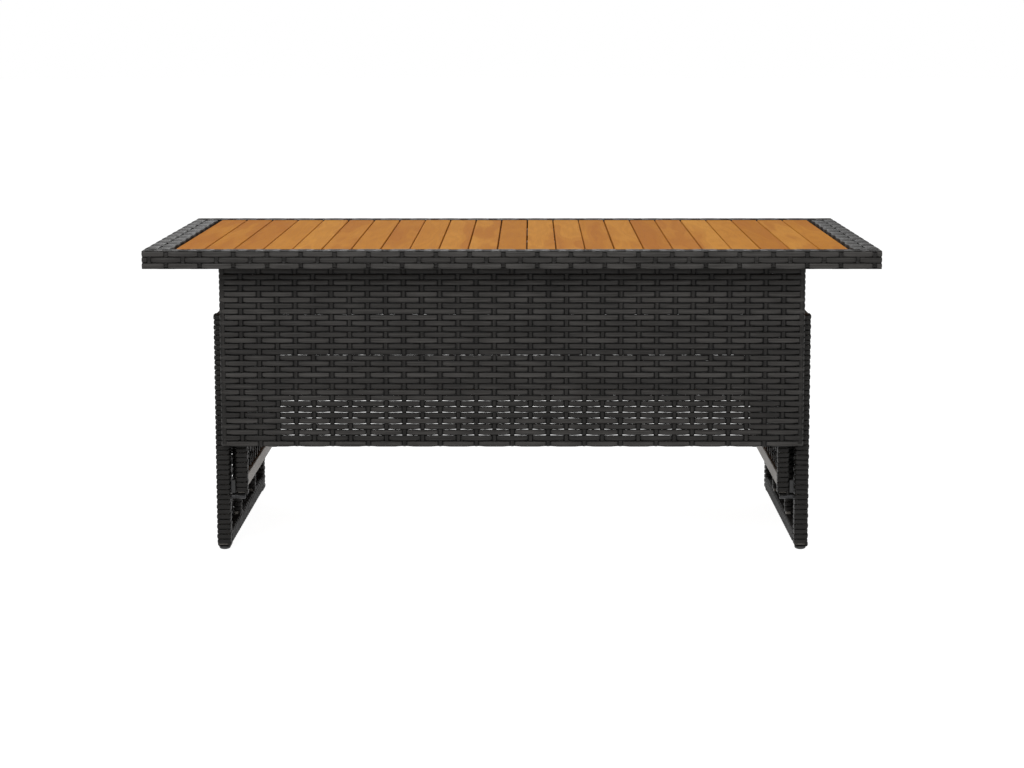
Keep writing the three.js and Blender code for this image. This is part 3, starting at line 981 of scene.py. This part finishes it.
def make_glides():
    """Turned feet with a round rim, on a stem that goes up into the post."""
    for name in SIDES:
        for face in FACES:
            node = f"glide_{face}_{name}"
            low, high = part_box(node)
            x, y = (low.x + high.x) / 2, (low.y + high.y) / 2
            profile = [(radius * MM, height * MM) for radius, height in GLIDE_FOOT]
            profile += [(GLIDE_STEM_RADIUS, high.z), (0, high.z)]
            bm = bmesh.new()
            add_lathe(bm, profile, (x, y, 0), (0, 0, 1))
            stand_for(mesh_object(f"{node}_dome", bm), node, "plastic")


def make_pins():
    """Headless pins: a shallow socket in the chamfered inner end, a plain shank, and a thread."""
    for name, side in SIDES.items():
        for face in FACES:
            node = f"support_pin_{face}_{name}"
            low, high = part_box(node)
            centre = ((low.y + high.y) / 2, (low.z + high.z) / 2)
            start = low.x if side > 0 else high.x
            length = high.x - low.x
            profile = [(radius * MM, distance * MM) for radius, distance in PIN_NOSE]
            profile += [(PIN_RADIUS, PIN_CHAMFER), (PIN_RADIUS, PIN_SHANK)]
            travel = PIN_SHANK
            while travel < length - 2 * THREAD_PITCH:
                profile.append((PIN_RADIUS - THREAD_DEPTH, travel + THREAD_PITCH / 2))
                profile.append((PIN_RADIUS, travel + THREAD_PITCH))
                travel += THREAD_PITCH
            profile += [(PIN_RADIUS - THREAD_END, length), (0, length)]
            bm = bmesh.new()
            add_lathe(bm, profile, (start, *centre), (side, 0, 0), steps=24)
            stand_for(mesh_object(f"{node}_thread", bm), node, "zinc")


def make_shoes():
    """The guide shoes that the inner posts slide along."""
    for name in SIDES:
        for face in FACES:
            node = f"guide_shoe_{face}_{name}"
            low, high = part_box(node)
            bm = bmesh.new()
            add_block(bm, low, high, SHOE_BEVEL)
            stand_for(mesh_object(f"{node}_pad", bm, SHOE_EDGE_FACE), node, "plastic")


def dress_frames():
    """The hidden steel keeps its CAD shape and takes the powder coat."""
    names = ["top_frame", "skirt_bar_front", "skirt_bar_back", "end_frame_left", "end_frame_right"]
    for name in names:
        obj = frame["nodes"][name]
        for slot in obj.material_slots:
            slot.material = MATERIALS["steel"]


# ---------------------------------------------------------------- studio


def make_studio():
    """White all round for the camera, lit from a bright back and a dimmer front."""
    world = bpy.data.worlds.new("studio")
    world.use_nodes = True
    tree = world.node_tree
    where = tree.nodes.new("ShaderNodeTexCoord")
    parts = tree.nodes.new("ShaderNodeSeparateXYZ")
    blend = tree.nodes.new("ShaderNodeMapRange")
    tree.links.new(where.outputs["Generated"], parts.inputs[0])
    tree.links.new(parts.outputs["Y"], blend.inputs["Value"])
    blend.inputs["From Min"].default_value = WORLD_TURN[0]
    blend.inputs["From Max"].default_value = WORLD_TURN[1]
    blend.inputs["To Min"].default_value = WORLD_FRONT
    blend.inputs["To Max"].default_value = WORLD_BACK
    tree.links.new(blend.outputs["Result"], tree.nodes["Background"].inputs["Strength"])
    tree.nodes["Background"].inputs["Color"].default_value = (1, 1, 1, 1)
    bpy.context.scene.world = world
    bpy.context.scene.view_settings.view_transform = "Standard"

    bpy.ops.mesh.primitive_plane_add(size=FLOOR_SIZE)
    floor = bpy.context.object
    floor.name = "floor"
    n = Nodes("floor")
    n.set(Base_Color=(0.2, 0.2, 0.2, 1), Roughness=0.9, Specular_IOR_Level=0.0)
    n.set(Emission_Color=(1, 1, 1, 1), Emission_Strength=FLOOR_GLOW)
    underside = n.add("ShaderNodeNewGeometry").outputs["Backfacing"]
    n.link(n.math("SUBTRACT", 1.0, underside), "Alpha")
    floor.data.materials.append(n.material)

    bpy.ops.mesh.primitive_uv_sphere_add(segments=48, ring_count=24, radius=BACKDROP_RADIUS)
    backdrop = bpy.context.object
    backdrop.name = "backdrop"
    n = Nodes("backdrop")
    n.set(Base_Color=(0, 0, 0, 1), Emission_Color=(1, 1, 1, 1), Emission_Strength=1.0)
    n.set(Specular_IOR_Level=0.0)
    backdrop.data.materials.append(n.material)
    for ray in ("diffuse", "glossy", "transmission", "volume_scatter", "shadow"):
        setattr(backdrop, f"visible_{ray}", False)

    for name, place, aim, size, power in LAMPS:
        light = bpy.data.lights.new(name, "AREA")
        light.shape = "SQUARE"
        light.size = size
        light.energy = power
        lamp = bpy.data.objects.new(name, light)
        lamp.location = place
        lamp.rotation_euler = (Vector(aim) - Vector(place)).to_track_quat("-Z", "Y").to_euler()
        bpy.context.scene.collection.objects.link(lamp)


def make_camera():
    """A long lens in front of the table, a little above it."""
    camera = bpy.data.cameras.new("camera")
    camera.lens = CAMERA_LENS
    camera.sensor_width = 36
    camera.shift_x, camera.shift_y = CAMERA_SHIFT
    obj = bpy.data.objects.new("camera", camera)
    obj.location = CAMERA_PLACE
    obj.rotation_euler = (math.radians(90 - CAMERA_TILT), 0, 0)
    bpy.context.scene.collection.objects.link(obj)
    bpy.context.scene.camera = obj


make_camera()
make_studio()
make_skirts()
make_end_panels()
make_side_panels()
make_windings()
make_borders()
make_slats()
make_inner_frames()
make_glides()
make_pins()
make_shoes()
dress_frames()
